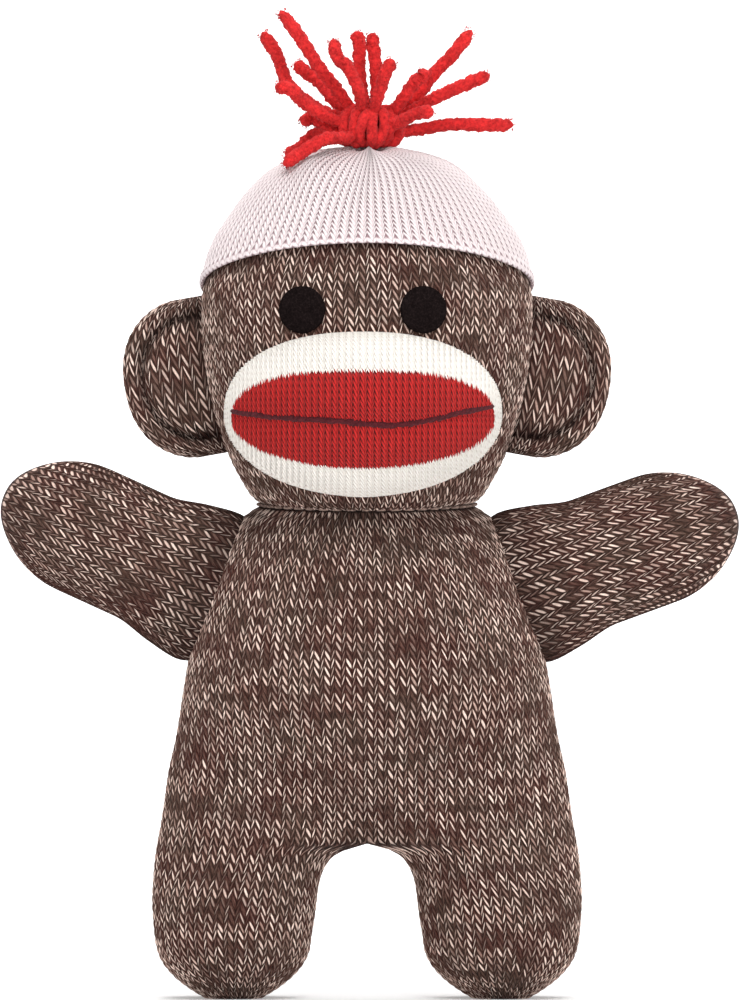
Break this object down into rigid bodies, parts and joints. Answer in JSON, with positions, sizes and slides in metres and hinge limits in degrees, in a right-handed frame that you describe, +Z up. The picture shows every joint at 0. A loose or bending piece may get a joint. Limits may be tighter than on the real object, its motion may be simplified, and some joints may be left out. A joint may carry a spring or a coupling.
{
  "type": "stuffed monkey",
  "caption": "Standing knit toy monkey with swinging arms and legs, folding ears, a nodding and turning head, a bulging muzzle and a knit cap with a yarn tassel.",
  "frame": {"origin": "on the surface that the soles stand on, under the middle of the whole toy's width and depth", "axes": "+Z up towards the cap, -Y the way the face looks, +X towards the arm on the viewer's right"},
  "size_m": [0.1488, 0.0682, 0.1982],
  "materials": {
    "brown_knit": "matte brown and beige marl knit",
    "filling": "loose white fibre filling",
    "cream_knit": "matte cream knit",
    "red_knit": "matte red knit",
    "white_knit": "matte pinkish white knit",
    "black_felt": "matte black felt",
    "red_yarn": "fuzzy red yarn",
    "dark_yarn": "dark maroon yarn",
    "pale_thread": "pale grey sewing thread"
  },
  "bodies": {
    "torso": {"torso_cover": "brown_knit", "torso_filling": "filling"},
    "neck": {"neck_seam_thread": "pale_thread"},
    "head": {"head_cover": "brown_knit", "head_filling": "filling", "muzzle_cover": "cream_knit", "muzzle_filling": "filling", "lips": "red_knit", "mouth_stitch": "dark_yarn", "eye_left": "black_felt", "eye_right": "black_felt", "hat_cap": "white_knit", "tassel_knot": "red_yarn", "tassel_strand_01": "red_yarn", "tassel_strand_02": "red_yarn", "tassel_strand_03": "red_yarn", "tassel_strand_04": "red_yarn", "tassel_strand_05": "red_yarn", "tassel_strand_06": "red_yarn", "tassel_strand_07": "red_yarn", "tassel_strand_08": "red_yarn", "tassel_strand_09": "red_yarn", "tassel_strand_10": "red_yarn", "tassel_strand_11": "red_yarn", "tassel_strand_12": "red_yarn", "tassel_strand_13": "red_yarn", "tassel_strand_14": "red_yarn", "tassel_strand_15": "red_yarn", "tassel_strand_16": "red_yarn"},
    "ear_left": {"ear_left_cover": "brown_knit", "ear_left_wadding": "filling", "ear_left_topstitch": "pale_thread"},
    "arm_left": {"arm_left_cover": "brown_knit", "arm_left_filling": "filling"},
    "leg_left": {"leg_left_cover": "brown_knit", "leg_left_filling": "filling"},
    "ear_right": {"ear_right_cover": "brown_knit", "ear_right_wadding": "filling", "ear_right_topstitch": "pale_thread"},
    "arm_right": {"arm_right_cover": "brown_knit", "arm_right_filling": "filling"},
    "leg_right": {"leg_right_cover": "brown_knit", "leg_right_filling": "filling"}
  },
  "joints": [
    {"name": "head_turn", "type": "hinge", "parent": "torso", "child": "neck", "pos_m": [0, 0.005, 0.0985], "axis": [0, 0, 1], "range_deg": [-40, 40], "stiffness_Nm_per_rad": 0.4},
    {"name": "head_nod", "type": "hinge", "parent": "neck", "child": "head", "pos_m": [0, 0.005, 0.0985], "axis": [1, 0, 0], "range_deg": [-10, 10], "stiffness_Nm_per_rad": 2},
    {"name": "arm_left_swing", "type": "hinge", "parent": "torso", "child": "arm_left", "pos_m": [-0.031, 0.005, 0.082], "axis": [0, 1, 0], "range_deg": [-40, 18], "stiffness_Nm_per_rad": 0.15},
    {"name": "arm_right_swing", "type": "hinge", "parent": "torso", "child": "arm_right", "pos_m": [0.031, 0.005, 0.082], "axis": [0, -1, 0], "range_deg": [-40, 18], "stiffness_Nm_per_rad": 0.15},
    {"name": "leg_left_swing", "type": "hinge", "parent": "torso", "child": "leg_left", "pos_m": [-0.026, 0.005, 0.031], "axis": [-1, 0, 0], "range_deg": [-25, 45], "stiffness_Nm_per_rad": 3},
    {"name": "leg_right_swing", "type": "hinge", "parent": "torso", "child": "leg_right", "pos_m": [0.026, 0.005, 0.031], "axis": [-1, 0, 0], "range_deg": [-25, 45], "stiffness_Nm_per_rad": 3},
    {"name": "ear_left_fold", "type": "hinge", "parent": "head", "child": "ear_left", "pos_m": [-0.0342, 0.008, 0.1242], "axis": [-0.1736, 0, 0.9848], "range_deg": [-25, 25], "stiffness_Nm_per_rad": 0.03},
    {"name": "ear_right_fold", "type": "hinge", "parent": "head", "child": "ear_right", "pos_m": [0.0342, 0.008, 0.1242], "axis": [-0.1736, 0, -0.9848], "range_deg": [-25, 25], "stiffness_Nm_per_rad": 0.03}
  ]
}
